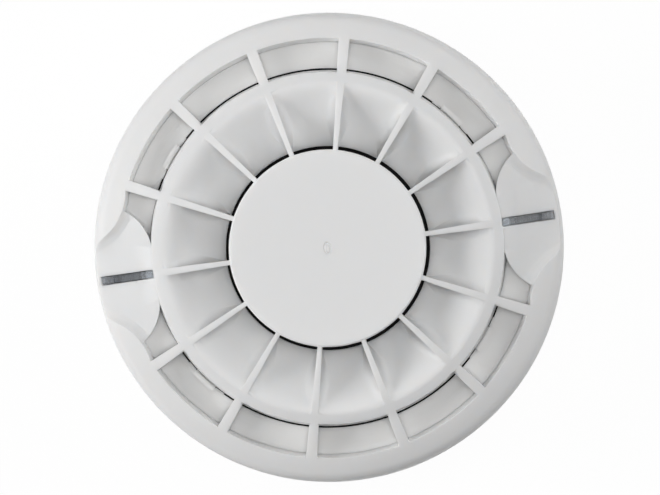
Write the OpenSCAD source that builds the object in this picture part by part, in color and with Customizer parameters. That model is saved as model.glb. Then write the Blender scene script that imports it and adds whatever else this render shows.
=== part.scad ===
// Ceiling heat detector: a domed head with a finned air inlet, twisted onto a wiring base.
// It lies on its mounting face: z = 0 is the ceiling side and +Z points out of the front face.

/* [Head cover] */
// Outer diameter of the head at its lower edge
head_d = 100; // [96:0.5:112]
// Height of the front cap's face above the mounting face
cap_z = 46; // [44:0.5:54]
// Height of the cover's lower edge above the mounting face
lip_z = 12.8; // [12:0.1:14]
// Diameter of the flat front cap
cap_d = 41.4; // [34:0.2:46]
// Thickness of the front cap
cap_t = 1.6; // [1.2:0.1:2.4]
// Bevel round the front cap's edge
cap_bevel = 0.3; // [0.1:0.05:0.5]
// Radius of the domed face's section
dome_r = 90; // [80:1:140]
// Distance of the dome section's centre from the axis
dome_offset = 8.5; // [4:0.5:12]
// Radius of the rounded shoulder between face and side
shoulder_r = 3; // [1.5:0.25:4]
// Draft of the outer side wall in degrees
side_draft = 2.8; // [1:0.2:4]
// Thickness of the outer wall
wall = 1.8; // [1.4:0.1:2.4]
// Thickness of the inner plates
skin = 1.5; // [1.1:0.1:2]

/* [Air inlet] */
// Number of radial fins
fin_count = 14; // [12:2:16]
// Angular width of a fin inside the ring
inner_fin_deg = 2.75; // [2:0.25:4]
// Angular width of a fin outside the ring
outer_fin_deg = 3.05; // [2.3:0.25:4]
// Radial slit between the cap and the funnel's mouth
cap_gap = 0.7; // [0.5:0.1:1.2]
// Depth of the funnel's mouth below the cap's face
funnel_depth = 8.6; // [7:0.2:9.6]
// Width of the ring's face
ring_w = 2.7; // [2:0.1:3.6]
// Draft of the ring's outer wall in degrees
ring_draft = 4.5; // [2:0.1:6]
// Width of the slots between ring and rim at the face
slot_w = 7.1; // [6.6:0.1:7.6]
// Width of the rim from the slots to the head's edge
rim_w = 6; // [5.6:0.1:6.8]
// Draft of the rim's inner wall in degrees
rim_draft = 13.8; // [8:0.2:16]
// Thickness of the ring's and the rim's inner walls
web = 1.3; // [1:0.1:1.6]
// Depth of the slots' floor below the rim's face
slot_depth = 3; // [2.6:0.1:4]

/* [Finger scoops] */
// Step from the ring's face down to the scoop
scoop_step = 1.7; // [1:0.1:2.2]
// Slope of the scoop in degrees
scoop_slope = 20; // [16:1:22]
// Half angle of the scoop at the rim's inner edge
scoop_half_deg = 20.6; // [18:0.2:21]
// Radius of the scoop's rounded cheeks at their upper edge
cheek_r = 10.25; // [8:0.25:12]
// How far the cheeks bulge inwards past the rim's inner edge
cheek_bulge = 0.4; // [0.2:0.1:0.8]
// Radius of the hollow blend between cheek and scoop
cheek_blend = 3; // [2:0.25:4]
// Width of the tongue between ring and rim
tongue_w = 31.5; // [30:0.1:32]
// Corner radius of the tongue
tongue_corner_r = 10.75; // [9.5:0.25:12]

/* [Light pipes] */
// Width of the slot in the scoop
pipe_slot_w = 1.8; // [1.4:0.1:2.4]
// Clearance of the blade on each side in its slot
pipe_clear = 0.15; // [0.1:0.05:0.25]
// Distance of the slot's outer end from the head's edge
pipe_edge = 2; // [1.8:0.1:3]
// Length of the raised window at the blade's outer end
pipe_window = 2.4; // [1.6:0.1:4]
// Depth of the rest of the blade below the scoop
pipe_sink = 1.2; // [0.6:0.1:1.6]
// Distance of the status lamp from the frame's skirt
led_inset = 7; // [6:0.5:9]

/* [Inner frame] */
// Slit between the ring's wall and the frame's floor
air_slit = 0.38; // [0.3:0.02:0.6]
// Parting gap between the frame's floor and the rim
parting = 0.18; // [0.1:0.02:0.3]
// Fit gap between pieces that only touch
fit = 0.06; // [0.03:0.01:0.1]
// Angular width of a snap hook
clip_w_deg = 8.2; // [6:0.2:9]
// Distance of the frame's skirt inside the rim
frame_inset = 3; // [2.8:0.1:3.5]

/* [Board] */
// Height of the board's underside above the rear plate's
board_rise = 6.9; // [6.6:0.1:7.4]
// Thickness of the circuit board
board_t = 1.6; // [1.2:0.2:2]
// Clearance between the board and the frame's skirt
board_clear = 0.6; // [0.3:0.1:2]
// Depth of the thermistor's bead below the cap's face
bead_drop = 6.5; // [5:0.5:8]
// Diameter of the thermistor's bead
bead_d = 2.4; // [1.6:0.1:3.2]
// Diameter of an address dial
dial_d = 7.6; // [6:0.2:9]
// Distance between the two address dials
dial_pitch = 22; // [19:0.5:26]
// Radial running clearance of a dial in its switch
dial_clear = 0.08; // [0.05:0.01:0.1]

/* [Rear housing] */
// Step from the cover's lower edge up to the rear plate's underside
rear_step = 0.8; // [0.4:0.1:1.2]
// Thickness of the rear plate
rear_t = 1.6; // [1.4:0.1:2]
// Distance of the bayonet spigot from the head's edge
spigot_inset = 13; // [12.6:0.1:14]
// Gap between the spigot's lower end and the base's contact pads
spigot_gap = 1; // [0.5:0.1:1.5]
// Gap between a cover screw's boss and the housing's wall
screw_gap = 0.9; // [0.7:0.1:1]
// Number of bayonet lugs
lug_count = 3; // [3:1:4]
// Angular width of a bayonet lug
lug_deg = 14; // [10:1:15]
// Height of a bayonet lug
lug_h = 1.6; // [1.2:0.1:1.8]
// How far a lug stands out of the spigot
lug_reach = 2.4; // [1.8:0.1:2.6]

/* [Base] */
// How far the base's wall lies inside the head's edge
base_inset = 0.6; // [0.2:0.1:1.4]
// Gap between the base's wall and the cover's lower edge
base_gap = 0.6; // [0.5:0.1:1.4]
// Thickness of the base's floor
base_t = 2.2; // [1.8:0.1:2.6]
// Radial clearance between the head and the base at the bayonet
bayonet_clear = 0.4; // [0.3:0.05:0.5]
// Angular width of a bayonet ledge
ledge_deg = 14; // [10:1:15]
// Thickness of a bayonet ledge
ledge_t = 1.8; // [1.4:0.1:2]
// Diameter of the central cable entry
entry_d = 28; // [20:0.5:34]
// Distance between the ceiling screw slots
fixing_pitch = 57; // [54:0.5:60]
// Width of a ceiling screw slot
fixing_w = 4.5; // [3.6:0.1:5]
// Length of a ceiling screw slot
fixing_l = 14; // [8:0.5:14]
// Distance of the terminal screws inside the spigot
terminal_inset = 6.5; // [6.2:0.1:7]
// Diameter of a terminal screw's shank
terminal_screw_d = 3.4; // [3:0.1:4]
// Distance of the contacts from the terminal screws
contact_step = 6.2; // [6:0.1:6.8]
// Gap between a contact foot and its leaf when locked
contact_gap = 0.15; // [0.08:0.01:0.25]

/* [Hidden] */

eps = 0.02;
cut_in = 0.04;                              // how far the section stands into the cells cut from it
over = 6;                                   // how far cutters run past what they cut
cap_r = cap_d / 2;
head_r = head_d / 2;
mouth_r = cap_r + cap_gap;
mouth_z = cap_z - funnel_depth;
rim_in_r = head_r - rim_w;
frame_r = rim_in_r - frame_inset;
ring_out_r = rim_in_r - slot_w;
ring_in_r = ring_out_r - ring_w;
fin_pitch = 360 / fin_count;
top_z = cap_z + over;

rear_z = lip_z + rear_step;
board_z = rear_z + board_rise;

// The domed face: an arc that starts at the foot of the cap's bevel.
dome_z0 = cap_z - cap_bevel - sqrt(dome_r ^ 2 - (cap_r - dome_offset) ^ 2);
function dome_z(r) = dome_z0 + sqrt(dome_r ^ 2 - (r - dome_offset) ^ 2);

// The drafted walls beside the outer slots, and the outer side wall.
ring_z = dome_z(ring_out_r);
rim_z = dome_z(rim_in_r);
floor_z = rim_z - slot_depth;
function ring_wall_r(z) = ring_out_r + (ring_z - z) * tan(ring_draft);
function rim_wall_r(z) = rim_in_r - (rim_z - z) * tan(rim_draft);
function side_r(z) = head_r - (z - lip_z) * tan(side_draft);

// The shoulder's centre: as far inside the dome as inside the side wall.
side_dir = [-sin(side_draft), cos(side_draft)];
side_start = [head_r, lip_z] - shoulder_r * [cos(side_draft), sin(side_draft)];
dome_centre = [dome_offset, dome_z0];
side_rel = side_start - dome_centre;
side_b = side_rel * side_dir;
shoulder_c = side_start + side_dir
    * (-side_b + sqrt(side_b ^ 2 - side_rel * side_rel + (dome_r - shoulder_r) ^ 2));
shoulder_top_deg = atan2(shoulder_c[1] - dome_centre[1], shoulder_c[0] - dome_centre[0]);
shoulder_in_r = shoulder_c[0] + shoulder_r * cos(shoulder_top_deg);
shoulder_out_z = shoulder_c[1] + shoulder_r * sin(side_draft);
function arc(c, r, from, to, n) = [for (i = [0 : n]) let (a = from + (to - from) * i / n)
    c + r * [cos(a), sin(a)]];
function dome_run(from, to, n) = [for (i = [0 : n]) let (r = from + (to - from) * i / n)
    [r, dome_z(r)]];
function bezier(a, b, c, n) = [for (i = [0 : n]) let (t = i / n)
    a * (1 - t) ^ 2 + b * 2 * t * (1 - t) + c * t ^ 2];

// The funnel's surface, from the ring's face down to its mouth.
blend_l = 2.4;
blend_from = [ring_in_r + 0.7, dome_z(ring_in_r + 0.7)];
blend_mid = [ring_in_r - 0.5, dome_z(ring_in_r) + 0.1];
funnel_slope = (blend_mid[1] - mouth_z) / (blend_mid[0] - mouth_r);
blend_to = blend_mid - blend_l * [1, funnel_slope];
funnel_run = concat(bezier(blend_from, blend_mid, blend_to, 5), [[mouth_r, mouth_z]]);

// The scoop's floor.
scoop_z0 = ring_z - scoop_step;
cheek_foot_deg = 18;                        // where the cheek's blend leaves the floor, and where it ends
cheek_top_deg = 62;
function scoop_z(r) = scoop_z0 - (r - ring_out_r) * tan(scoop_slope);

// The light pipe's slot, whose inner end steps out round the foot of the ring's wall.
pipe_reach = head_r - pipe_edge;
slot_in_x = ring_out_r - 0.1;
slot_step = 2.5;
slot_step_z = scoop_z0 - skin - 1;

// The underside of the cover.
ring_foot_z = floor_z - skin;               // the ring's wall runs down beside the frame's floor
fin_foot_z = floor_z + 0.45;
fin_root_r = cap_r - 4;
boss_r = 2.2;
housing_clear = 0.3;
housing_wall = 1.2;
screw_head_r = 1.9;
screw_head_h = 1.3;
screw_l = 8;
cross_l = 2.6;
cross_w = 0.6;
screw_r = frame_r + housing_clear + housing_wall + screw_gap + boss_r;
boss_z = rear_z + rear_t + fit;
pilot_r = 1.05;
pilot_depth = 9;
screw_angles = [for (a = [45 : 90 : 315]) round(a / fin_pitch) * fin_pitch];
clip_angles = [for (a = [0, 180]) for (s = [-1, 1]) a + 1.5 * s * fin_pitch];
hook_z = floor_z - 0.1;
hook_h = 1.4;

// The inner frame.
dish_t = 1.4;
dish_sag = 0.2;
flange_r = rim_wall_r(floor_z) + web - 0.2;
ledge_z = board_z + board_t + fit;
frame_ledge_t = 1.2;
frame_wall = 1.4;
frame_foot_z = board_z - 3.5;

// The chamber tray.
tray_z = ledge_z + frame_ledge_t + fit;
tray_t = 1.2;
tray_r = frame_r - frame_wall - 0.2;
collar_r = 6.4;
collar_h = 5;
mast_clear = 0.2;
notch_w = pipe_slot_w + 1.2;

// The rear housing.
housing_lap = 2.6;
post_inset = 6;
post_r = 2;

// The address switches.
switch_margin = 1.2;
switch_gap = 0.5;
switch_bore_l = 2.7;
dial_h = 4.2;
dial_sink = 0.4;
dial_slot_w = 1;
dial_slot_h = 0.9;
dial_arrow_r = 1.3;

// The board and the sensor.
board_r = frame_r - frame_wall - board_clear;
led_x = frame_r - led_inset;
bead_z = cap_z - bead_drop;
mast_top_z = bead_z - 5.5;
mast_foot_r = collar_r - tray_t - mast_clear;
lead_d = 0.6;
lead_pitch = 1.6;
led_h = 0.9;
chip_w = 7;
chip_t = 1;
chip_at = [-17, 9];
lead_w = 0.5;
lead_reach = 0.6;
lead_gap = 0.95;
can_r = 3.1;
can_clear = 0.4;
can_h = board_rise - rear_t - can_clear;
can_groove = 0.15;
can_y = 15;
block_l = 2;
block_w = 1.3;
block_h = 0.55;
block_r = 20;
block_deg = 14;

// The bayonet and the contacts.
pad_h = 2.8;
spigot_r = head_r - spigot_inset;
spigot_t = 1.6;
spigot_z = base_t + pad_h + spigot_gap;
ledge_low_z = spigot_z + lug_h + bayonet_clear;
bayonet_wall_r = spigot_r + lug_reach + bayonet_clear;
bayonet_wall_t = 1.6;
lug_pitch = 360 / lug_count;
lug_phase = 90;                             // one lug at right angles to the ceiling screw slots
base_r = head_r - base_inset;
base_h = lip_z - base_gap;
contact_angles = [45, 135, 225, 315];
terminal_r = spigot_r - terminal_inset;
contact_r = terminal_r - contact_step;
foot_w = 3.4;
foot_l = 6;
foot_t = 0.8;
foot_slot = 0.15;                           // clearance of a contact foot in the rear plate
strap_l = 6;
rivet_step = 3.5;
rivet_hole_r = 1;
rivet_head_r = 1.5;
rivet_head_h = 0.7;
leaf_t = 0.5;
plate_t = 0.8;
plate_z = base_t + pad_h;
leaf_top_z = plate_z + 2.25;
foot_z = leaf_top_z + contact_gap;
leaf_plate_w = 9.2;
leaf_plate_out = 4.5;
leaf_side = 0.5;
leaf_arm_w = 3.2;
leaf_arm_y = -7.6;
leaf_end = 7.4;
leaf_root = 4.8;
leaf_flat = 1.6;
leaf_tip = 5;
pad_in = 2.5;
pad_out = 4.7;
pad_y = -8;
pad_w = 13.2;
washer_w = 8.4;
washer_t = 0.9;
terminal_head_r = 3.3;
terminal_head_h = 2;
terminal_slot = 1;
entry_rim_w = 1.2;
entry_rim_h = 1;
rib_w = 1.4;
rib_h = 6;

module at_each(angles) {
    for (a = angles) rotate([0, 0, a]) children();
}

// Turns a section in the XZ plane through angles either side of +X.
module sector(half_deg) {
    rotate([0, 0, -half_deg]) rotate_extrude(angle = 2 * half_deg, $fn = 180) children();
}

// Stands a section up in the XZ plane with its thickness centred on y = 0.
module upright(t) {
    translate([0, t / 2, 0]) rotate([90, 0, 0]) linear_extrude(t) children();
}

// ---------------------------------------------------------------- front cover
module cover_section() {
    inner_top = [for (r = [side_r(shoulder_c[1]) - wall : -1.1 : rim_in_r + web - 0.1])
        [r, dome_z(r) - wall - shoulder_r * 0.35]];
    polygon(concat(
        [[0, cap_z], [cap_r - cap_bevel, cap_z]],
        dome_run(cap_r + cut_in, ring_in_r, 5),
        dome_run(ring_in_r + 1, ring_out_r, 1),
        dome_run(ring_out_r + 2, rim_in_r, 2),
        dome_run(rim_in_r + 1.2, shoulder_in_r - 0.6, 1),
        arc(shoulder_c, shoulder_r, shoulder_top_deg, side_draft, 8),
        [[head_r, lip_z], [head_r - wall, lip_z]],
        [[side_r(shoulder_c[1] - shoulder_r) - wall, shoulder_c[1] - shoulder_r]],
        inner_top,
        [[rim_wall_r(floor_z) + web, floor_z], [rim_wall_r(floor_z) - cut_in, floor_z]],
        [[rim_wall_r(fin_foot_z) - cut_in, fin_foot_z], [ring_wall_r(fin_foot_z) - cut_in, fin_foot_z]],
        [[ring_wall_r(ring_foot_z) - cut_in, ring_foot_z], [ring_wall_r(ring_foot_z) - web, ring_foot_z]],
        [[ring_wall_r(ring_z - skin) - web, blend_to[1] - skin + 0.9]],
        [[blend_to[0], blend_to[1] - skin], [mouth_r - cut_in, mouth_z - skin]],
        [[fin_root_r, cap_z - cap_t], [0, cap_z - cap_t]]));
}

module inner_cell() {
    cap_under_z = cap_z - cap_t + cut_in;
    sector((fin_pitch - inner_fin_deg) / 2) polygon(concat(
        [[cap_r, top_z], [blend_from[0], top_z]], funnel_run,
        [[mouth_r, floor_z], [fin_root_r - 1, floor_z]],
        [[fin_root_r - 1, cap_under_z], [cap_r, cap_under_z]]));
}

module slot_section() {
    polygon([[ring_wall_r(top_z), top_z], [ring_wall_r(ring_foot_z), ring_foot_z],
        [rim_wall_r(ring_foot_z), ring_foot_z], [rim_wall_r(top_z), top_z]]);
}

module outer_cell() {
    sector((fin_pitch - outer_fin_deg) / 2) slot_section();
}

// The tongue's outline: a rounded strip that runs from under the ring into the rim.
module tongue_outline(inset = 0) {
    w = tongue_w - 2 * inset;
    r = tongue_corner_r - inset;
    x = ring_out_r - 0.5 + inset;
    translate([x + r, 0]) {
        for (s = [-1, 1]) translate([0, s * (w / 2 - r)]) circle(r, $fn = 64);
        translate([-r, -w / 2 + r]) square([r, w - 2 * r]);
        translate([0, -w / 2]) square([rim_in_r - x, w]);
    }
}

// The opening round the tongue, whose outer wall bulges in beside each cheek.
module led_opening() {
    foot_r = cheek_r + (rim_z - ring_foot_z) * tan(rim_draft);
    top_r = cheek_r - (top_z - rim_z) * tan(rim_draft);
    difference() {
        sector(fin_pitch - outer_fin_deg / 2) slot_section();
        translate([0, 0, floor_z]) linear_extrude(top_z) tongue_outline();
        for (s = [-1, 1]) rotate([0, 0, s * scoop_half_deg])
            translate([rim_in_r - cheek_bulge + cheek_r, 0, ring_foot_z - eps])
            cylinder(h = top_z - ring_foot_z + 2 * eps, r1 = foot_r, r2 = top_r, $fn = 120);
    }
}

// A cheek: a turned form that stands square on the scoop's floor and sweeps up from it.
module scoop_cheek() {
    blend_top = cheek_blend * (1 - cos(cheek_top_deg));
    foot_r = cheek_r + cheek_blend * sin(cheek_top_deg);
    below = 1.5;
    above = 4;
    sweep = arc([foot_r, cheek_blend], cheek_blend, 270 - cheek_foot_deg, 270 - cheek_top_deg, 6);
    translate([rim_in_r - cheek_bulge, 0, scoop_z(rim_in_r)]) rotate([0, scoop_slope, 0])
        translate([cheek_r - blend_top * tan(scoop_slope), 0, 0]) rotate_extrude($fn = 120)
        polygon(concat([[0, -below], [sweep[0][0] + (below + sweep[0][1]) / tan(30), -below]], sweep,
            [[cheek_r - above / tan(cheek_top_deg), blend_top + above], [0, blend_top + above]]));
}

// What the scoop takes away: all above its floor, between the two rounded cheeks.
module scoop_cut() {
    far_r = head_r + over;
    difference() {
        sector(scoop_half_deg) polygon([
            [ring_wall_r(scoop_z0), scoop_z0], [far_r, scoop_z(far_r)],
            [far_r, top_z], [ring_wall_r(top_z), top_z]]);
        for (s = [-1, 1]) rotate([0, 0, s * scoop_half_deg]) scoop_cheek();
    }
}

// The plate under the scoop where it crosses the rim.
module scoop_backing() {
    in_r = rim_in_r + web / 2;
    out_r = side_r(shoulder_c[1]) - wall / 2;
    sector(scoop_half_deg + 2) polygon([
        [in_r, scoop_z(in_r) - skin], [out_r, scoop_z(out_r) - skin],
        [out_r, shoulder_c[1]], [shoulder_in_r - 1, dome_z(shoulder_in_r) - wall / 2],
        [in_r, dome_z(in_r) - wall / 2]]);
}

// The hollow under the tongue, round the light pipe.
module tongue_pocket() {
    far_r = rim_wall_r(floor_z) + eps;
    intersection() {
        translate([0, 0, ring_foot_z]) linear_extrude(top_z) tongue_outline(skin);
        sector(fin_pitch) polygon([[ring_wall_r(scoop_z0) + web, ring_foot_z],
            [far_r, ring_foot_z], [far_r, scoop_z(far_r) - skin],
            [ring_wall_r(scoop_z0) + web, scoop_z(ring_wall_r(scoop_z0) + web) - skin]]);
    }
}

module pipe_slot() {
    upright(pipe_slot_w) polygon([[slot_in_x, top_z], [slot_in_x, slot_step_z],
        [slot_in_x + slot_step, slot_step_z], [slot_in_x + slot_step, ring_foot_z],
        [pipe_reach, ring_foot_z], [pipe_reach, top_z]]);
}

// The window in the ring's wall that a snap hook clicks into.
module hook_window() {
    sector(clip_w_deg / 2 + 0.3) translate([ring_wall_r(hook_z) - web - 0.5, hook_z - 0.1])
        square([web + 1, hook_h + 0.2]);
}

// The turned shell with the cells between the fins cut out.
module finned_shell() {
    difference() {
        rotate_extrude($fn = 180) cover_section();
        for (k = [0 : fin_count - 1]) rotate([0, 0, (k + 0.5) * fin_pitch]) inner_cell();
        for (k = [1 : fin_count / 2 - 2]) at_each([0, 180]) rotate([0, 0, (k + 0.5) * fin_pitch])
            outer_cell();
    }
}

// The shell with its two scoops, their tongues and the light pipes' slots, one cut after the other.
module scooped_shell() {
    difference() {
        difference() {
            difference() {
                difference() {
                    union() {
                        finned_shell();
                        at_each([0, 180]) scoop_backing();
                    }
                    at_each([0, 180]) led_opening();
                }
                at_each([0, 180]) scoop_cut();
            }
            at_each([0, 180]) tongue_pocket();
        }
        at_each([0, 180]) pipe_slot();
    }
}

// The bosses for the cover screws, which end inside the rim's thickness.
module screw_bosses() {
    in_r = screw_r - boss_r - 1;
    top_r = rim_in_r + web / 2;
    intersection() {
        at_each(screw_angles) translate([screw_r, 0, boss_z])
            cylinder(h = top_z - boss_z, r = boss_r, $fn = 48);
        rotate_extrude($fn = 180) polygon([[in_r, boss_z - 1], [side_r(boss_z) - wall / 2, boss_z - 1],
            [side_r(shoulder_c[1]) - wall / 2, shoulder_c[1]],
            [shoulder_in_r, dome_z(shoulder_in_r) - wall / 2], [top_r, dome_z(top_r) - wall / 2],
            [rim_wall_r(floor_z) + web / 2, floor_z - 1], [in_r, floor_z - 1]]);
    }
}

module front_cover() {
    color("whitesmoke") difference() {
        union() {
            scooped_shell();
            screw_bosses();
        }
        at_each(screw_angles) translate([screw_r, 0, boss_z - eps])
            cylinder(h = pilot_depth, r = pilot_r, $fn = 32);
        at_each(clip_angles) hook_window();
    }
}

// ---------------------------------------------------------------- inner frame
module frame_section() {
    in_r = ring_wall_r(floor_z) + air_slit;
    out_r = rim_wall_r(floor_z) - parting;
    under_z = floor_z - dish_t;
    polygon(concat(
        bezier([in_r, floor_z - 0.1], [(in_r + out_r) / 2, floor_z - 2 * dish_sag],
            [out_r, floor_z + 0.1], 6),
        [[out_r, floor_z - fit], [flange_r, floor_z - fit], [flange_r, under_z + 0.1]],
        [[frame_r, under_z], [frame_r, frame_foot_z], [frame_r - frame_wall, frame_foot_z]],
        [[frame_r - frame_wall, ledge_z], [frame_r - 3, ledge_z]],
        [[frame_r - 3, ledge_z + frame_ledge_t], [frame_r - frame_wall, ledge_z + frame_ledge_t]],
        [[frame_r - frame_wall, under_z], [in_r, under_z]]));
}

// The closed floor beside a light pipe, which fills the slit and the parting gap.
module frame_platform() {
    low_z = floor_z - dish_t + 0.2;
    high_z = floor_z + 0.2;
    sector(fin_pitch - outer_fin_deg / 2 + 0.4) polygon([
        [ring_wall_r(low_z) + fit, low_z], [ring_wall_r(floor_z) + fit, floor_z],
        [rim_wall_r(high_z) - fit, high_z], [rim_wall_r(low_z) - fit, low_z]]);
}

// A snap hook in its window in the ring's wall, between two posts that bridge the slit.
module snap_hook() {
    stem_r = ring_wall_r(floor_z - dish_t) + 0.12;
    foot = floor_z - dish_t + 0.1;
    sector(clip_w_deg / 2) polygon([[stem_r, foot], [stem_r + 1.1, foot],
        [stem_r + 1.1, hook_z + hook_h], [stem_r, hook_z + hook_h], [stem_r, hook_z + 0.9],
        [stem_r - 1, hook_z + 0.7], [stem_r - 1, hook_z + 0.1], [stem_r, hook_z + 0.1]]);
    for (s = [-1, 1]) rotate([0, 0, s * (clip_w_deg / 2 + 1.8)]) sector(1.6)
        translate([stem_r - 0.06, foot]) square([0.8, dish_t - 0.2]);
}

module inner_frame() {
    color("gainsboro") difference() {
        union() {
            rotate_extrude($fn = 180) frame_section();
            at_each([0, 180]) frame_platform();
            at_each(clip_angles) snap_hook();
        }
        at_each([0, 180]) upright(pipe_slot_w + 0.4) polygon([
            [ring_wall_r(floor_z - dish_t) - 0.5, ledge_z + 0.6], [flange_r + 0.5, ledge_z + 0.6],
            [flange_r + 0.5, floor_z + 2], [ring_wall_r(floor_z - dish_t) - 0.5, floor_z + 2]]);
        at_each(screw_angles) translate([screw_r, 0, frame_foot_z])
            cylinder(h = floor_z - frame_foot_z + 2, r = boss_r + 0.2, $fn = 48);
    }
}

// ---------------------------------------------------------------- light pipes
// The blade: a raised window and a sunk edge in the scoop, and a leg that bends in to the lamp.
module light_pipe() {
    leg_x = slot_in_x + slot_step + pipe_clear;
    top_x = ring_out_r + pipe_clear;
    out_x = pipe_reach - pipe_clear;
    window_x = out_x - pipe_window;
    led_top_z = board_z + board_t + led_h + 0.15;
    upright(pipe_slot_w - 2 * pipe_clear) polygon([
        [leg_x, slot_step_z + pipe_clear], [top_x, slot_step_z + pipe_clear],
        [top_x, scoop_z(top_x) - pipe_sink],
        [window_x, scoop_z(window_x) - pipe_sink], [window_x, scoop_z(window_x) + 0.1],
        [out_x, scoop_z(out_x) + 0.1], [out_x, ring_foot_z + pipe_clear],
        [out_x - 1.6, ring_foot_z + pipe_clear], [rim_in_r - 1.4, ring_foot_z - 4],
        [frame_r - 0.4, ledge_z + 3], [led_x + 1.6, led_top_z], [led_x - 1.6, led_top_z],
        [led_x - 1.6, led_top_z + 2], [led_x + 2, ledge_z + 5], [leg_x, ring_foot_z - 3]]);
}

module light_pipe_right() {
    color("lightslategray") light_pipe();
}

module light_pipe_left() {
    color("lightslategray") rotate([0, 0, 180]) light_pipe();
}

// ---------------------------------------------------------------- sensing chamber
module chamber_tray() {
    color("black") difference() {
        rotate_extrude($fn = 120) polygon([[collar_r - tray_t, tray_z], [tray_r, tray_z],
            [tray_r, tray_z + tray_t], [collar_r + 1, tray_z + tray_t],
            [collar_r, tray_z + tray_t + 1], [collar_r, tray_z + collar_h],
            [collar_r - tray_t, tray_z + collar_h]]);
        at_each([0, 180]) translate([led_x - 2.4, -notch_w / 2, tray_z - 1])
            cube([tray_r, notch_w, tray_t + 2]);
    }
}

module sensor_mast() {
    shoulder_z = tray_z + collar_h + 0.6;
    color("dimgray") difference() {
        rotate_extrude($fn = 64) polygon([[0, board_z + board_t], [mast_foot_r, board_z + board_t],
            [mast_foot_r, shoulder_z - 1], [mast_foot_r - 1.6, shoulder_z],
            [2.2, mast_top_z - 0.4], [1.8, mast_top_z], [0, mast_top_z]]);
        for (s = [-1, 1]) translate([s * lead_pitch / 2, 0, board_z])
            cylinder(h = mast_top_z, r = lead_d / 2 + 0.05, $fn = 24);
    }
}

module thermistor() {
    color("saddlebrown") {
        translate([0, 0, bead_z]) sphere(d = bead_d, $fn = 32);
        for (s = [-1, 1]) translate([s * lead_pitch / 2, 0, board_z + board_t])
            cylinder(h = bead_z - board_z - board_t, r = lead_d / 2, $fn = 24);
    }
}

// ---------------------------------------------------------------- board
module circuit_board() {
    color("seagreen") translate([0, 0, board_z]) cylinder(h = board_t, r = board_r, $fn = 120);
}

module status_leds() {
    color("ivory") at_each([0, 180]) translate([led_x - block_l / 2, -block_w / 2, board_z + board_t])
        cube([block_l, block_w, led_h]);
}

module controller_chip() {
    first_y = (chip_w - 6 * lead_gap - lead_w) / 2;
    color("darkslategray") translate([chip_at[0], chip_at[1], board_z + board_t]) {
        cube([chip_w, chip_w, chip_t]);
        for (k = [0 : 6]) for (x = [-lead_reach, chip_w])
            translate([x, first_y + k * lead_gap, 0]) cube([lead_reach, lead_w, chip_t * 0.4]);
    }
}

module surge_capacitors() {
    groove_z = can_h * 0.86;
    color("silver") for (s = [-1, 1]) translate([0, s * can_y, board_z - can_h])
        rotate_extrude($fn = 48) polygon([[0, 0], [can_r * 0.87, 0], [can_r, can_r * 0.13],
            [can_r, groove_z - can_groove], [can_r - can_groove, groove_z],
            [can_r, groove_z + can_groove], [can_r, can_h], [0, can_h]]);
}

module chip_resistors() {
    color("darkslategray") at_each([for (k = [0 : 9]) (k - 5) * block_deg])
        translate([block_r, -block_w / 2, board_z + board_t]) cube([block_l, block_w, block_h]);
}

module address_switch() {
    body_w = dial_d + 2 * switch_margin;
    body_z = rear_z + rear_t + switch_gap;
    bore_r = dial_d / 2 + dial_clear;
    color("royalblue") difference() {
        translate([-body_w / 2, -body_w / 2, body_z]) cube([body_w, body_w, board_z - body_z]);
        translate([0, 0, body_z - over]) cylinder(h = over + switch_bore_l, r = bore_r, $fn = 64);
    }
}

module address_dial() {
    dial_z = rear_z + dial_sink;
    slot_l = dial_d * 0.74;
    color("white") difference() {
        translate([0, 0, dial_z]) cylinder(h = dial_h, d = dial_d, $fn = 64);
        translate([-slot_l / 2, -dial_slot_w / 2, dial_z - over])
            cube([slot_l, dial_slot_w, over + dial_slot_h]);
        translate([slot_l / 2, 0, dial_z - over]) rotate([0, 0, 180])
            cylinder(h = over + dial_slot_h, r = dial_arrow_r, $fn = 3);
    }
}

module tens_switch() {
    translate([-dial_pitch / 2, 0, 0]) address_switch();
}

module units_switch() {
    translate([dial_pitch / 2, 0, 0]) address_switch();
}

module tens_dial() {
    translate([-dial_pitch / 2, 0, 0]) address_dial();
}

module units_dial() {
    translate([dial_pitch / 2, 0, 0]) address_dial();
}

// ---------------------------------------------------------------- rear housing
module rear_housing() {
    plate_r = side_r(rear_z) - wall - housing_clear;
    top = rear_z + rear_t;
    box_r = frame_r + housing_clear;
    box_top = ledge_z + housing_lap;
    color("whitesmoke") difference() {
        union() {
            rotate_extrude($fn = 180) polygon([[0, rear_z], [spigot_r - spigot_t, rear_z],
                [spigot_r - spigot_t, spigot_z], [spigot_r, spigot_z], [spigot_r, rear_z],
                [plate_r, rear_z], [plate_r, top], [box_r + housing_wall, top],
                [box_r + housing_wall, box_top], [box_r, box_top], [box_r, top], [0, top]]);
            for (k = [0 : lug_count - 1]) rotate([0, 0, lug_phase + k * lug_pitch]) sector(lug_deg / 2)
                translate([spigot_r - spigot_t / 2, spigot_z]) square([lug_reach + spigot_t / 2, lug_h]);
            at_each([22.5 : 90 : 337.5]) translate([frame_r - post_inset, 0, top - rear_t / 2])
                cylinder(h = board_z - top + rear_t / 2, r = post_r, $fn = 32);
        }
        for (s = [-1, 1]) translate([s * dial_pitch / 2, 0, rear_z - over])
            cylinder(h = rear_t + 2 * over, r = dial_d / 2 + switch_gap, $fn = 64);
        at_each(screw_angles) translate([screw_r, 0, rear_z - over])
            cylinder(h = rear_t + 2 * over, r = pilot_r + 0.2, $fn = 32);
        at_each(contact_angles) {
            translate([contact_r - foot_w / 2 - foot_slot, -foot_l / 2 - foot_slot, rear_z - over])
                cube([foot_w + 2 * foot_slot, foot_t + 2 * foot_slot, rear_t + 2 * over]);
            translate([contact_r, -foot_l / 2 - rivet_step, rear_z - over])
                cylinder(h = rear_t + 2 * over, r = rivet_hole_r, $fn = 24);
        }
    }
}

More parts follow.
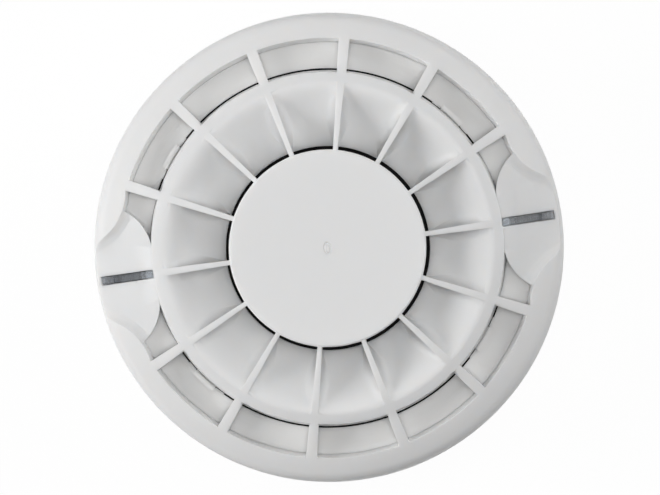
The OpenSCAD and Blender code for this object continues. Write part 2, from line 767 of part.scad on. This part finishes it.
module cover_screws() {
    head_z = rear_z - screw_head_h;
    color("silver") at_each(screw_angles) translate([screw_r, 0, 0]) difference() {
        union() {
            translate([0, 0, head_z]) cylinder(h = screw_head_h, r = screw_head_r, $fn = 32);
            translate([0, 0, rear_z]) cylinder(h = screw_l, r = pilot_r - 0.05, $fn = 32);
        }
        for (a = [0, 90]) rotate([0, 0, a]) translate([-cross_l / 2, -cross_w / 2, head_z - over])
            cube([cross_l, cross_w, over + cross_w]);
    }
}

module contact_feet() {
    color("goldenrod") at_each(contact_angles) translate([contact_r - foot_w / 2, -foot_l / 2, 0]) {
        translate([0, 0, foot_z]) cube([foot_w, foot_l, foot_t]);
        translate([0, 0, foot_z]) cube([foot_w, foot_t, board_z - foot_z - fit]);
        translate([0, -strap_l, rear_z - foot_t]) difference() {
            cube([foot_w, strap_l + foot_t, foot_t]);
            translate([foot_w / 2, strap_l - rivet_step, -over])
                cylinder(h = 2 * over, r = rivet_hole_r, $fn = 24);
        }
    }
}

module contact_rivets() {
    low = rear_z - foot_t;
    color("silver") at_each(contact_angles) translate([contact_r, -foot_l / 2 - rivet_step, 0]) {
        translate([0, 0, low - rivet_head_h]) cylinder(h = rivet_head_h, r = rivet_head_r, $fn = 32);
        translate([0, 0, low - rivet_head_h / 2])
            cylinder(h = foot_t + rear_t + rivet_head_h / 2, r = rivet_hole_r - fit, $fn = 24);
        translate([0, 0, rear_z + rear_t])
            cylinder(h = rivet_head_h * 0.7, r = rivet_head_r - 0.1, $fn = 32);
    }
}

// ---------------------------------------------------------------- base
module bayonet_ledge() {
    in_r = spigot_r + bayonet_clear;
    stop_deg = lug_deg / 2 + 2;
    sector(ledge_deg / 2) translate([in_r, ledge_low_z])
        square([bayonet_wall_r - in_r + 0.5, ledge_t]);
    rotate([0, 0, -stop_deg]) sector(1) translate([in_r, base_t - 0.5])
        square([bayonet_wall_r - in_r + 0.5, ledge_low_z - base_t + 0.5 + ledge_t]);
}

module base_moulding() {
    out_r = base_r;
    wall_top = ledge_low_z + ledge_t;
    color("whitesmoke") difference() {
        union() {
            rotate_extrude($fn = 180) polygon([[entry_d / 2, 0], [out_r - 0.3, 0], [out_r, 0.3],
                [out_r, base_h - 0.4], [out_r - 0.4, base_h], [out_r - wall, base_h],
                [out_r - wall, base_t], [bayonet_wall_r + bayonet_wall_t, base_t],
                [bayonet_wall_r + bayonet_wall_t, wall_top], [bayonet_wall_r, wall_top],
                [bayonet_wall_r, base_t], [entry_d / 2 + entry_rim_w, base_t],
                [entry_d / 2 + entry_rim_w, base_t + entry_rim_h], [entry_d / 2, base_t + entry_rim_h]]);
            for (k = [0 : lug_count - 1]) rotate([0, 0, lug_phase + k * lug_pitch]) bayonet_ledge();
            at_each([15 : 30 : 345])
                translate([bayonet_wall_r + bayonet_wall_t / 2, -rib_w / 2, base_t / 2])
                cube([out_r - wall / 2 - bayonet_wall_r - bayonet_wall_t / 2, rib_w, base_t / 2 + rib_h]);
            at_each(contact_angles) translate([contact_r - pad_in, pad_y, base_t / 2])
                cube([terminal_r + pad_out - contact_r + pad_in, pad_w, base_t / 2 + pad_h]);
        }
        for (s = [-1, 1]) translate([s * fixing_pitch / 2, 0, -over]) linear_extrude(over + base_t + 1) {
            square([fixing_l - fixing_w, fixing_w], center = true);
            for (e = [-1, 1]) translate([e * (fixing_l - fixing_w) / 2, 0])
                circle(d = fixing_w, $fn = 48);
        }
        at_each(contact_angles) translate([terminal_r, 0, base_t * 0.4])
            cylinder(h = base_t + pad_h, r = terminal_screw_d / 2 + 0.05, $fn = 32);
    }
}

module contact_leaves() {
    plate_x = contact_r + foot_w / 2 + leaf_side;
    tip_z = plate_z + 2 * leaf_t;
    color("gold") at_each(contact_angles) difference() {
        union() {
            translate([plate_x, -leaf_plate_w / 2, plate_z])
                cube([terminal_r + leaf_plate_out - plate_x, leaf_plate_w, plate_t]);
            translate([contact_r - foot_w / 2, leaf_arm_y, plate_z])
                cube([foot_w + 4 * leaf_side, leaf_arm_w, plate_t]);
            translate([contact_r + foot_w / 2, 0, 0]) rotate([90, 0, -90]) linear_extrude(foot_w)
                polygon([[leaf_end, plate_z], [leaf_end, plate_z + leaf_t],
                    [leaf_root, plate_z + leaf_t], [leaf_flat, leaf_top_z], [-leaf_flat, leaf_top_z],
                    [-leaf_tip, tip_z], [-leaf_tip, tip_z - leaf_t],
                    [leaf_t / 4 - leaf_flat, leaf_top_z - leaf_t],
                    [leaf_flat - leaf_t / 4, leaf_top_z - leaf_t], [leaf_root - leaf_t, plate_z]]);
        }
        translate([terminal_r, 0, plate_z - over])
            cylinder(h = 2 * over, r = terminal_screw_d / 2 + 0.2, $fn = 32);
    }
}

module clamp_washers() {
    color("silver") at_each(contact_angles) translate([terminal_r, 0, plate_z + plate_t]) difference() {
        translate([-washer_w / 2, -washer_w / 2, 0]) cube([washer_w, washer_w, washer_t]);
        translate([0, 0, -over]) cylinder(h = 2 * over, r = terminal_screw_d / 2 + 0.2, $fn = 32);
    }
}

module terminal_screws() {
    seat_z = plate_z + plate_t + washer_t;
    color("lightsteelblue") at_each(contact_angles) translate([terminal_r, 0, 0]) difference() {
        union() {
            translate([0, 0, base_t * 0.5]) cylinder(h = seat_z - base_t * 0.5, d = terminal_screw_d, $fn = 32);
            translate([0, 0, seat_z]) cylinder(h = terminal_head_h, r = terminal_head_r, $fn = 48);
        }
        translate([-terminal_head_r - 1, -terminal_slot / 2, seat_z + terminal_head_h - terminal_slot])
            cube([2 * terminal_head_r + 2, terminal_slot, over]);
    }
}

front_cover();
inner_frame();
light_pipe_right();
light_pipe_left();
chamber_tray();
sensor_mast();
thermistor();
circuit_board();
status_leds();
controller_chip();
surge_capacitors();
chip_resistors();
tens_switch();
units_switch();
tens_dial();
units_dial();
rear_housing();
cover_screws();
contact_feet();
contact_rivets();
base_moulding();
contact_leaves();
clamp_washers();
terminal_screws();
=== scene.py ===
"""Looks for the ceiling heat detector.

Mouldings, light pipes, sensor, board, switches, metalwork and the studio it is shown in.
"""

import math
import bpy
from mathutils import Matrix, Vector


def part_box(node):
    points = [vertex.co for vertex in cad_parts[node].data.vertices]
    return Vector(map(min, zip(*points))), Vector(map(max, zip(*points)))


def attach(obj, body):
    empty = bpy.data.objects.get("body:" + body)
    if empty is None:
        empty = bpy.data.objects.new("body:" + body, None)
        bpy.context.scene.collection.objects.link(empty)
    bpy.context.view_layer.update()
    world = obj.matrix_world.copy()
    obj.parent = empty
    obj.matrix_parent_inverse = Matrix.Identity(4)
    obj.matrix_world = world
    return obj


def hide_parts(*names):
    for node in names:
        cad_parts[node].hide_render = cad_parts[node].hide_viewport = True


bl_info = {
    "name": "Heat Detector Finisher",
    "version": (1, 0, 0),
    "blender": (4, 5, 0),
    "location": "3D View > Sidebar > Detector",
    "description": "Gives the packed heat detector its mouldings, light pipes, board and studio",
    "category": "Object",
}

import bmesh
import bpy
from bpy.props import FloatProperty, FloatVectorProperty, PointerProperty
from mathutils import Matrix, Vector

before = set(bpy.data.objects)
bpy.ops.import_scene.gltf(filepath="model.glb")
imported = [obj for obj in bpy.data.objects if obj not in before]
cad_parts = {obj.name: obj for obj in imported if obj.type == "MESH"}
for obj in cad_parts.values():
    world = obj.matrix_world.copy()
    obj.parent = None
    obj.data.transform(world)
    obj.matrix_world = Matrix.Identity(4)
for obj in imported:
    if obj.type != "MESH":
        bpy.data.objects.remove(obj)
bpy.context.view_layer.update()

MM = 0.001
LIP_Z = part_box("front_cover")[0].z
CAP_FACE_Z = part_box("front_cover")[1].z
CAP_UNDER_Z = CAP_FACE_Z - 2 * MM           # just below the cap's plate
UNDER_MOUTH_Z = CAP_FACE_Z - 9 * MM         # just below the funnel's mouth


def colour(name, description, value):
    """A colour setting."""
    return FloatVectorProperty(name=name, description=description, subtype="COLOR",
        size=3, min=0, max=1, default=value)


# ---------------------------------------------------------------- settings
class MouldingSettings(bpy.types.PropertyGroup):
    """Colours and edges of the white mouldings"""
    plastic: colour("Plastic", "Colour of the white mouldings", (0.92, 0.92, 0.917))
    # The inner frame's colour is darker than the cover's white as painted shade for the slot and
    # recess floors
    floor_plastic_painted_shade: colour("Inner frame", "Colour of the inner frame's floor", (0.81, 0.806, 0.797))
    roughness: FloatProperty(name="Roughness", description="Roughness of the white mouldings",
        default=0.46, min=0.1, max=1)
    grain: FloatProperty(name="Grain", description="Depth of the moulding grain in millimetres",
        default=0.006, min=0, max=0.05)
    edge_radius: FloatProperty(name="Edge radius", description="Radius of the cover's edges",
        default=0.08 * MM, min=0.02 * MM, max=0.4 * MM, unit="LENGTH", precision=5)
    mouth_radius: FloatProperty(name="Mouth radius", description="Radius of the funnel's mouth",
        default=21.4 * MM, min=18 * MM, max=25 * MM, unit="LENGTH", precision=5)
    cap_trim: FloatProperty(name="Cap trim", description="How far the cap's edge draws in",
        default=0.1 * MM, min=0, max=0.3 * MM, unit="LENGTH", precision=5)
    edge_angle: FloatProperty(name="Edge angle", description="Edges sharper than this are rounded",
        default=math.radians(28), min=0.2, max=1.5, subtype="ANGLE")


class InnerSettings(bpy.types.PropertyGroup):
    """Colours of what the head holds"""
    clear: colour("Clear acrylic", "Colour of the light pipes", (0.86, 0.90, 0.95))
    black: colour("Black plastic", "Colour of the tray and the mast", (0.012, 0.012, 0.013))
    bead: colour("Bead", "Colour of the thermistor's coating", (0.05, 0.03, 0.025))
    laminate: colour("Solder mask", "Colour of the circuit board", (0.02, 0.14, 0.07))
    switch: colour("Switch", "Colour of the address switches", (0.04, 0.14, 0.38))


class MetalSettings(bpy.types.PropertyGroup):
    """Colours of the screws and the contacts"""
    steel: colour("Plated steel", "Colour of the screws and washers", (0.66, 0.66, 0.64))
    brass: colour("Contact brass", "Colour of the contacts", (0.72, 0.58, 0.33))


class StageSettings(bpy.types.PropertyGroup):
    """The camera's place and the sky"""
    distance: FloatProperty(name="Distance", description="Camera's distance from the head",
        default=1.5, min=0.5, max=4, unit="LENGTH")
    lens: FloatProperty(name="Lens", description="Focal length in millimetres",
        default=384, min=50, max=800)
    tilt: FloatProperty(name="Tilt", description="Angle between the view and the head's axis",
        default=math.radians(0.65), min=0, max=0.5, subtype="ANGLE")
    bearing: FloatProperty(name="Bearing", description="Direction in which the view is tilted",
        default=math.radians(31), subtype="ANGLE")
    roll: FloatProperty(name="Roll", description="Turn of the light pipes' line in the view",
        default=math.radians(8.4), subtype="ANGLE")
    world: FloatProperty(name="Sky", description="Brightness of the even sky light",
        default=0.02, min=0, max=2)


# ---------------------------------------------------------------- shader tools
GATE_RADII = (0.65 * MM, 1.05 * MM)         # half width and half height of the gate's oval mark
GATE_DEPTH = 0.15 * MM


def add_node(tree, kind, place=(0, 0), **values):
    """A node of a tree, with its place and its settings."""
    node = tree.nodes.new(kind)
    node.location = place
    for key, value in values.items():
        setattr(node, key, value)
    return node


def new_group(name, inputs, outputs):
    """A shader node group with float or colour inputs and outputs."""
    group = bpy.data.node_groups.new(name, "ShaderNodeTree")
    for label, kind, value in inputs:
        socket = group.interface.new_socket(name=label, in_out="INPUT", socket_type=kind)
        socket.default_value = value
    for label, kind in outputs:
        group.interface.new_socket(name=label, in_out="OUTPUT", socket_type=kind)
    return group


def moulding_grain():
    """Fine spark-eroded grain and the soft waviness of a moulded surface."""
    name = "moulding_grain"
    if name in bpy.data.node_groups:
        return bpy.data.node_groups[name]
    group = new_group(name,
        [("Grain scale", "NodeSocketFloat", 2600.0), ("Wave scale", "NodeSocketFloat", 60.0),
         ("Colour", "NodeSocketColor", (0.8, 0.8, 0.8, 1)), ("Mottle", "NodeSocketFloat", 0.02),
         ("Roughness", "NodeSocketFloat", 0.5)],
        [("Colour", "NodeSocketColor"), ("Roughness", "NodeSocketFloat"),
         ("Height", "NodeSocketFloat")])
    links = group.links
    entry = add_node(group, "NodeGroupInput", (-900, 0))
    leave = add_node(group, "NodeGroupOutput", (700, 0))
    where = add_node(group, "ShaderNodeTexCoord", (-900, 300))
    fine = add_node(group, "ShaderNodeTexNoise", (-600, 300))
    fine.inputs["Detail"].default_value = 3
    wave = add_node(group, "ShaderNodeTexNoise", (-600, 0))
    wave.inputs["Detail"].default_value = 2
    links.new(where.outputs["Object"], fine.inputs["Vector"])
    links.new(where.outputs["Object"], wave.inputs["Vector"])
    links.new(entry.outputs["Grain scale"], fine.inputs["Scale"])
    links.new(entry.outputs["Wave scale"], wave.inputs["Scale"])
    spread = add_node(group, "ShaderNodeMapRange", (-300, -200))
    links.new(wave.outputs["Fac"], spread.inputs["Value"])
    spread.inputs["To Min"].default_value = -0.5
    spread.inputs["To Max"].default_value = 0.5
    amount = add_node(group, "ShaderNodeMath", (-100, -200), operation="MULTIPLY_ADD")
    links.new(spread.outputs["Result"], amount.inputs[0])
    links.new(entry.outputs["Mottle"], amount.inputs[1])
    amount.inputs[2].default_value = 1
    tint = add_node(group, "ShaderNodeVectorMath", (200, -200), operation="SCALE")
    links.new(entry.outputs["Colour"], tint.inputs[0])
    links.new(amount.outputs["Value"], tint.inputs["Scale"])
    links.new(tint.outputs["Vector"], leave.inputs["Colour"])
    rough = add_node(group, "ShaderNodeMath", (200, 100), operation="MULTIPLY_ADD")
    links.new(fine.outputs["Fac"], rough.inputs[0])
    rough.inputs[1].default_value = 0.08
    links.new(entry.outputs["Roughness"], rough.inputs[2])
    links.new(rough.outputs["Value"], leave.inputs["Roughness"])
    links.new(fine.outputs["Fac"], leave.inputs["Height"])
    return group


def gate_mark():
    """The shallow oval groove round the gate's stub in the middle of the cap."""
    name = "gate_mark"
    if name in bpy.data.node_groups:
        return bpy.data.node_groups[name]
    group = new_group(name, [], [("Height", "NodeSocketFloat")])
    links = group.links
    leave = add_node(group, "NodeGroupOutput", (500, 0))
    where = add_node(group, "ShaderNodeTexCoord", (-700, 0))
    scaled = add_node(group, "ShaderNodeVectorMath", (-500, 0), operation="MULTIPLY")
    scaled.inputs[1].default_value = (1 / GATE_RADII[0], 1 / GATE_RADII[1], 0)
    links.new(where.outputs["Object"], scaled.inputs[0])
    away = add_node(group, "ShaderNodeVectorMath", (-300, 0), operation="LENGTH")
    links.new(scaled.outputs["Vector"], away.inputs[0])
    step = add_node(group, "ShaderNodeMath", (-100, 0), operation="SUBTRACT")
    links.new(away.outputs["Value"], step.inputs[0])
    step.inputs[1].default_value = 1
    aside = add_node(group, "ShaderNodeMath", (100, 0), operation="ABSOLUTE")
    links.new(step.outputs["Value"], aside.inputs[0])
    groove = add_node(group, "ShaderNodeMapRange", (300, 0), interpolation_type="SMOOTHSTEP")
    links.new(aside.outputs["Value"], groove.inputs["Value"])
    groove.inputs["From Max"].default_value = 0.4
    links.new(groove.outputs["Result"], leave.inputs["Height"])
    return group


def new_material(name):
    """A node material and its Principled shader."""
    material = bpy.data.materials.new(name)
    material.use_nodes = True
    return material, material.node_tree.nodes["Principled BSDF"]


def add_grain(tree, shader, base, roughness, mottle):
    """Adds the moulding grain to a shader's colour and roughness, and returns its node."""
    grain = add_node(tree, "ShaderNodeGroup", (-600, 200), node_tree=moulding_grain())
    grain.inputs["Colour"].default_value = (*base, 1)
    grain.inputs["Mottle"].default_value = mottle
    grain.inputs["Roughness"].default_value = roughness
    tree.links.new(grain.outputs["Colour"], shader.inputs["Base Color"])
    tree.links.new(grain.outputs["Roughness"], shader.inputs["Roughness"])
    return grain


def add_bump(tree, source, depth, place):
    """A bump of a given depth in metres, driven by a node group's height."""
    bump = add_node(tree, "ShaderNodeBump", place)
    bump.inputs["Strength"].default_value = 1
    bump.inputs["Distance"].default_value = depth
    tree.links.new(source.outputs["Height"], bump.inputs["Height"])
    return bump


def moulded_plastic(name, base, roughness, grain_mm, mottle=0.02, depth_weight=0.0, gate=False):
    """Grained plastic, which light enters by depth_weight and which may carry the gate's mark."""
    material, shader = new_material(name)
    tree = material.node_tree
    grain = add_grain(tree, shader, base, roughness, mottle)
    bump = add_bump(tree, grain, grain_mm * MM, (-250, -100))
    if gate:
        mark = add_node(tree, "ShaderNodeGroup", (-600, -300), node_tree=gate_mark())
        dent = add_bump(tree, mark, GATE_DEPTH, (-50, -300))
        tree.links.new(bump.outputs["Normal"], dent.inputs["Normal"])
        bump = dent
    tree.links.new(bump.outputs["Normal"], shader.inputs["Normal"])
    shader.inputs["Subsurface Weight"].default_value = depth_weight
    shader.inputs["Subsurface Scale"].default_value = 1.4 * MM
    shader.inputs["Subsurface Radius"].default_value = (1, 0.95, 0.9)
    return material


def clear_acrylic(base):
    """Light-pipe acrylic, a little milky from its ejector marks."""
    material, shader = new_material("clear_acrylic")
    shader.inputs["Base Color"].default_value = (*base, 1)
    shader.inputs["Roughness"].default_value = 0.16
    shader.inputs["IOR"].default_value = 1.49
    shader.inputs["Transmission Weight"].default_value = 0.8
    return material


def metal(name, base, roughness, mottle=0.12):
    """Plated or rolled metal with a soft waviness."""
    material, shader = new_material(name)
    grain = add_grain(material.node_tree, shader, base, roughness, mottle)
    grain.inputs["Grain scale"].default_value = 1800
    grain.inputs["Wave scale"].default_value = 350
    shader.inputs["Metallic"].default_value = 1
    return material


def finish_node(node, material):
    """Gives a CAD node one material in place of its own."""
    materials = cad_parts[node].data.materials
    materials.clear()
    materials.append(material)


# ---------------------------------------------------------------- pieces
LIP_REACH = 0.3 * MM                        # how far the lip under the mouth stands into the slit
CAP_EDGE_BAND = (0.6 * MM, 1.05 * MM)       # where the cap's edge and bevel lie, inside the mouth
MERGE_DISTANCE = 0.06 * MM
SMOOTH_ANGLE = math.radians(32)


def open_slit(bm, mouth_radius, cap_trim):
    """Lines the lip under the funnel's mouth up with the mouth, and draws the cap's edge in."""
    for vert in bm.verts:
        radius = vert.co.xy.length
        inside = mouth_radius - radius
        if vert.co.z < UNDER_MOUTH_Z and 0 < inside < LIP_REACH:
            vert.co.xy *= mouth_radius / radius
        elif vert.co.z > CAP_UNDER_Z and CAP_EDGE_BAND[0] < inside < CAP_EDGE_BAND[1]:
            vert.co.xy *= (radius - cap_trim) / radius


def merged_copy(node, name, settings):
    """A CAD node's mesh as whole faces, with its outer edges rounded."""
    bm = bmesh.new()
    bm.from_mesh(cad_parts[node].data)
    open_slit(bm, settings.mouth_radius, settings.cap_trim)
    bmesh.ops.remove_doubles(bm, verts=bm.verts, dist=MERGE_DISTANCE)
    sharp = [e for e in bm.edges if len(e.link_faces) == 2 and e.is_convex
        and e.calc_face_angle() > settings.edge_angle]
    bmesh.ops.bevel(bm, geom=sharp, offset=settings.edge_radius, offset_type="OFFSET",
        affect="EDGES", segments=2, profile=0.5, material=-1, clamp_overlap=False)
    bmesh.ops.triangulate(bm, faces=[f for f in bm.faces if len(f.verts) > 4])
    mesh = bpy.data.meshes.new(name)
    bm.to_mesh(mesh)
    bm.free()
    mesh.shade_smooth()
    mesh.set_sharp_from_angle(angle=SMOOTH_ANGLE)
    piece = bpy.data.objects.new(name, mesh)
    bpy.context.scene.collection.objects.link(piece)
    weighted = piece.modifiers.new("Weighted normals", "WEIGHTED_NORMAL")
    weighted.keep_sharp = True
    weighted.weight = 100
    return piece


class DETECTOR_OT_cover(bpy.types.Operator):
    """Makes the front cover from the CAD cover, with rounded edges and moulding grain"""
    bl_idname = "detector.cover"
    bl_label = "Front cover"

    def execute(self, context):
        s = context.scene.detector_moulding
        piece = merged_copy("front_cover", "cover_skin", s)
        piece.data.materials.append(moulded_plastic("cover_plastic", s.plastic, s.roughness,
            s.grain, depth_weight=0.8, gate=True))
        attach(piece, "head")
        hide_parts("front_cover")
        return {"FINISHED"}


class DETECTOR_OT_mouldings(bpy.types.Operator):
    """Finishes the inner frame, the rear housing and the base"""
    bl_idname = "detector.mouldings"
    bl_label = "Frame, housing and base"

    def execute(self, context):
        s = context.scene.detector_moulding
        # The inner frame takes the darker colour, which paints shade onto its slot and recess
        # floors
        finish_node("inner_frame", moulded_plastic("frame_plastic_painted_shade", s.floor_plastic_painted_shade, s.roughness,
            s.grain, depth_weight=0.8))
        white = moulded_plastic("housing_plastic", s.plastic, s.roughness, s.grain)
        for node in ("rear_housing", "base_moulding"):
            finish_node(node, white)
        return {"FINISHED"}


class DETECTOR_OT_light_pipes(bpy.types.Operator):
    """Finishes the two clear light pipes"""
    bl_idname = "detector.light_pipes"
    bl_label = "Light pipes"

    def execute(self, context):
        acrylic = clear_acrylic(context.scene.detector_inner.clear)
        for node in ("light_pipe_right", "light_pipe_left"):
            finish_node(node, acrylic)
        return {"FINISHED"}


class DETECTOR_OT_sensor(bpy.types.Operator):
    """Finishes the black tray, the mast and the thermistor"""
    bl_idname = "detector.sensor"
    bl_label = "Sensor"

    def execute(self, context):
        s = context.scene.detector_inner
        black = moulded_plastic("tray_plastic", s.black, 0.6, 0.004)
        for node in ("chamber_tray", "sensor_mast"):
            finish_node(node, black)
        finish_node("thermistor", moulded_plastic("bead_coating", s.bead, 0.2, 0, mottle=0.2))
        return {"FINISHED"}


class DETECTOR_OT_board(bpy.types.Operator):
    """Finishes the circuit board and its components"""
    bl_idname = "detector.board"
    bl_label = "Board"

    def execute(self, context):
        s = context.scene.detector_inner
        finish_node("circuit_board", moulded_plastic("solder_mask", s.laminate, 0.3, 0.002))
        finish_node("status_leds", moulded_plastic("led_resin", (0.85, 0.84, 0.75), 0.3, 0))
        epoxy = moulded_plastic("chip_resin", (0.02, 0.02, 0.02), 0.55, 0.004)
        for node in ("controller_chip", "chip_resistors"):
            finish_node(node, epoxy)
        finish_node("surge_capacitors", metal("can_aluminium", (0.8, 0.8, 0.8), 0.3))
        return {"FINISHED"}


class DETECTOR_OT_switches(bpy.types.Operator):
    """Finishes the address switches and their dials"""
    bl_idname = "detector.switches"
    bl_label = "Address switches"

    def execute(self, context):
        s = context.scene.detector_inner
        body = moulded_plastic("switch_plastic", s.switch, 0.4, 0.003)
        dial = moulded_plastic("dial_plastic", (0.8, 0.79, 0.76), 0.4, 0.003)
        for node in ("tens_switch", "units_switch"):
            finish_node(node, body)
        for node in ("tens_dial", "units_dial"):
            finish_node(node, dial)
        return {"FINISHED"}


class DETECTOR_OT_metalwork(bpy.types.Operator):
    """Finishes the screws, washers, rivets and contacts"""
    bl_idname = "detector.metalwork"
    bl_label = "Metalwork"

    def execute(self, context):
        s = context.scene.detector_metal
        steel = metal("plated_steel", s.steel, 0.28)
        brass = metal("contact_brass", s.brass, 0.3)
        for node in ("cover_screws", "contact_rivets", "clamp_washers", "terminal_screws"):
            finish_node(node, steel)
        for node in ("contact_feet", "contact_leaves"):
            finish_node(node, brass)
        return {"FINISHED"}


# ---------------------------------------------------------------- studio
# Each lamp: its bearing in the view in degrees (0 right, 90 top), its angle from the head's
# axis in degrees, its diameter in metres and its power in watts.
LAMPS = {
    "front_softbox": (0, 0, 1.0, 8.4),
    "right_softbox": (9, 35, 1.0, 3.4),
    "left_softbox": (180, 67, 1.0, 15.9),
    "top_right_softbox": (40, 68, 1.0, 7.3),
}
LAMP_DISTANCE = 1.6
FLOOR_DROP = 0.3 * MM
AIM = (0.19 * MM, -0.03 * MM)               # the camera's target beside the axis: right, up


def view_axes(roll):
    """The view's right, up and towards-the-camera directions, looking straight onto the face."""
    right = Vector((math.cos(roll), -math.sin(roll), 0))
    up = Vector((math.sin(roll), math.cos(roll), 0))
    return right, up, Vector((0, 0, 1))


def aim(obj, place, target, up):
    """Puts a camera or a lamp at a place, facing a target."""
    back = (place - target).normalized()
    right = up.cross(back).normalized()
    turn = Matrix((right, back.cross(right), back)).transposed()
    obj.matrix_world = Matrix.Translation(place) @ turn.to_4x4()


def share_seen_white(tree, strength):
    """A strength for rays from the camera, reflections and clear pieces, and 0 for all others."""
    path = add_node(tree, "ShaderNodeLightPath", (-600, 400))
    seen = add_node(tree, "ShaderNodeMath", (-400, 400), operation="MAXIMUM")
    tree.links.new(path.outputs["Is Camera Ray"], seen.inputs[0])
    tree.links.new(path.outputs["Is Glossy Ray"], seen.inputs[1])
    clear = add_node(tree, "ShaderNodeMath", (-200, 400), operation="MAXIMUM")
    tree.links.new(seen.outputs["Value"], clear.inputs[0])
    tree.links.new(path.outputs["Is Transmission Ray"], clear.inputs[1])
    amount = add_node(tree, "ShaderNodeMath", (0, 400), operation="MULTIPLY")
    tree.links.new(clear.outputs["Value"], amount.inputs[0])
    amount.inputs[1].default_value = strength
    return amount.outputs["Value"]


def add_floor():
    """A pale floor that keeps the head's soft shadow and looks white."""
    bpy.ops.mesh.primitive_plane_add(size=12, location=(0, 0, -FLOOR_DROP))
    floor = bpy.context.object
    floor.name = "studio_floor"
    material, shader = new_material("studio_white")
    tree = material.node_tree
    shader.inputs["Base Color"].default_value = (0.8, 0.8, 0.8, 1)
    shader.inputs["Roughness"].default_value = 0.9
    glow = add_node(tree, "ShaderNodeEmission", (0, 200))
    glow.inputs["Strength"].default_value = 1.02
    mix = add_node(tree, "ShaderNodeMixShader", (300, 200))
    tree.links.new(share_seen_white(tree, 0.94), mix.inputs[0])
    tree.links.new(shader.outputs["BSDF"], mix.inputs[1])
    tree.links.new(glow.outputs["Emission"], mix.inputs[2])
    tree.links.new(mix.outputs["Shader"], tree.nodes["Material Output"].inputs["Surface"])
    floor.data.materials.append(material)


def add_sky(strength):
    """An even sky light that the camera sees as white."""
    world = bpy.data.worlds.new("studio_sky")
    world.use_nodes = True
    tree = world.node_tree
    sky = tree.nodes["Background"]
    sky.inputs["Color"].default_value = (1, 1, 1, 1)
    sky.inputs["Strength"].default_value = strength
    plain = add_node(tree, "ShaderNodeBackground", (0, 200))
    plain.inputs["Color"].default_value = (1, 1, 1, 1)
    mix = add_node(tree, "ShaderNodeMixShader", (300, 200))
    path = add_node(tree, "ShaderNodeLightPath", (-300, 400))
    tree.links.new(path.outputs["Is Camera Ray"], mix.inputs[0])
    tree.links.new(sky.outputs["Background"], mix.inputs[1])
    tree.links.new(plain.outputs["Background"], mix.inputs[2])
    tree.links.new(mix.outputs["Shader"], tree.nodes["World Output"].inputs["Surface"])
    bpy.context.scene.world = world


def direction(bearing, lean, axes):
    """The way that leans off the head's axis towards a bearing in the view, both in radians."""
    right, up, out = axes
    side = math.cos(bearing) * right + math.sin(bearing) * up
    return math.sin(lean) * side + math.cos(lean) * out


def add_lamps(axes):
    """The round softboxes, all at one distance from the middle of the head."""
    middle = Vector((0, 0, CAP_FACE_Z * 0.8))
    _, up, out = axes
    for name, (bearing, lean, size, power) in LAMPS.items():
        light = bpy.data.lights.new(name, "AREA")
        light.shape = "DISK"
        light.size = size
        light.energy = power
        lamp = bpy.data.objects.new(name, light)
        bpy.context.scene.collection.objects.link(lamp)
        way = direction(math.radians(bearing), math.radians(lean), axes)
        aim(lamp, middle + way * LAMP_DISTANCE, middle, up if abs(way.dot(up)) < 0.9 else out)


def add_camera(settings, axes):
    """The camera, which looks almost straight onto the face."""
    data = bpy.data.cameras.new("view_camera")
    data.lens = settings.lens
    data.sensor_width = 36
    data.clip_end = 20
    camera = bpy.data.objects.new("view_camera", data)
    bpy.context.scene.collection.objects.link(camera)
    right, up, _ = axes
    target = Vector((0, 0, LIP_Z)) + AIM[0] * right + AIM[1] * up
    way = direction(settings.bearing, settings.tilt, axes)
    aim(camera, target + way * settings.distance, target, up)
    bpy.context.scene.camera = camera


class DETECTOR_OT_stage(bpy.types.Operator):
    """Sets the floor, the sky, the lamps and the camera"""
    bl_idname = "detector.stage"
    bl_label = "Stage"

    def execute(self, context):
        s = context.scene.detector_stage
        axes = view_axes(s.roll)
        add_floor()
        add_sky(s.world)
        add_lamps(axes)
        add_camera(s, axes)
        context.scene.view_settings.view_transform = "Standard"
        return {"FINISHED"}


class DETECTOR_PT_panel(bpy.types.Panel):
    """Lists the detector's pieces and its stage"""
    bl_idname = "DETECTOR_PT_panel"
    bl_label = "Heat detector"
    bl_space_type = "VIEW_3D"
    bl_region_type = "UI"
    bl_category = "Detector"

    def draw(self, context):
        for group, settings, operators in PANEL:
            box = self.layout.box()
            box.label(text=group)
            values = getattr(context.scene, settings)
            for key in values.__annotations__:
                box.prop(values, key)
            for operator in operators:
                box.operator(operator.bl_idname)


SETTINGS = {
    "detector_moulding": MouldingSettings,
    "detector_inner": InnerSettings,
    "detector_metal": MetalSettings,
    "detector_stage": StageSettings,
}
PANEL = [
    ("Mouldings", "detector_moulding", (DETECTOR_OT_cover, DETECTOR_OT_mouldings)),
    ("Inside", "detector_inner",
        (DETECTOR_OT_light_pipes, DETECTOR_OT_sensor, DETECTOR_OT_board, DETECTOR_OT_switches)),
    ("Metal", "detector_metal", (DETECTOR_OT_metalwork,)),
    ("Stage", "detector_stage", (DETECTOR_OT_stage,)),
]
OPERATORS = [operator for _, _, operators in PANEL for operator in operators]


def register():
    for cls in (*SETTINGS.values(), *OPERATORS, DETECTOR_PT_panel):
        bpy.utils.register_class(cls)
    for name, cls in SETTINGS.items():
        setattr(bpy.types.Scene, name, PointerProperty(type=cls))


def unregister():
    for name in SETTINGS:
        delattr(bpy.types.Scene, name)
    for cls in reversed((*SETTINGS.values(), *OPERATORS, DETECTOR_PT_panel)):
        bpy.utils.unregister_class(cls)


def main():
    """Makes every piece and the stage."""
    register()
    for operator in OPERATORS:
        prefix, action = operator.bl_idname.split(".")
        getattr(getattr(bpy.ops, prefix), action)()


if __name__ == "__main__":
    main()
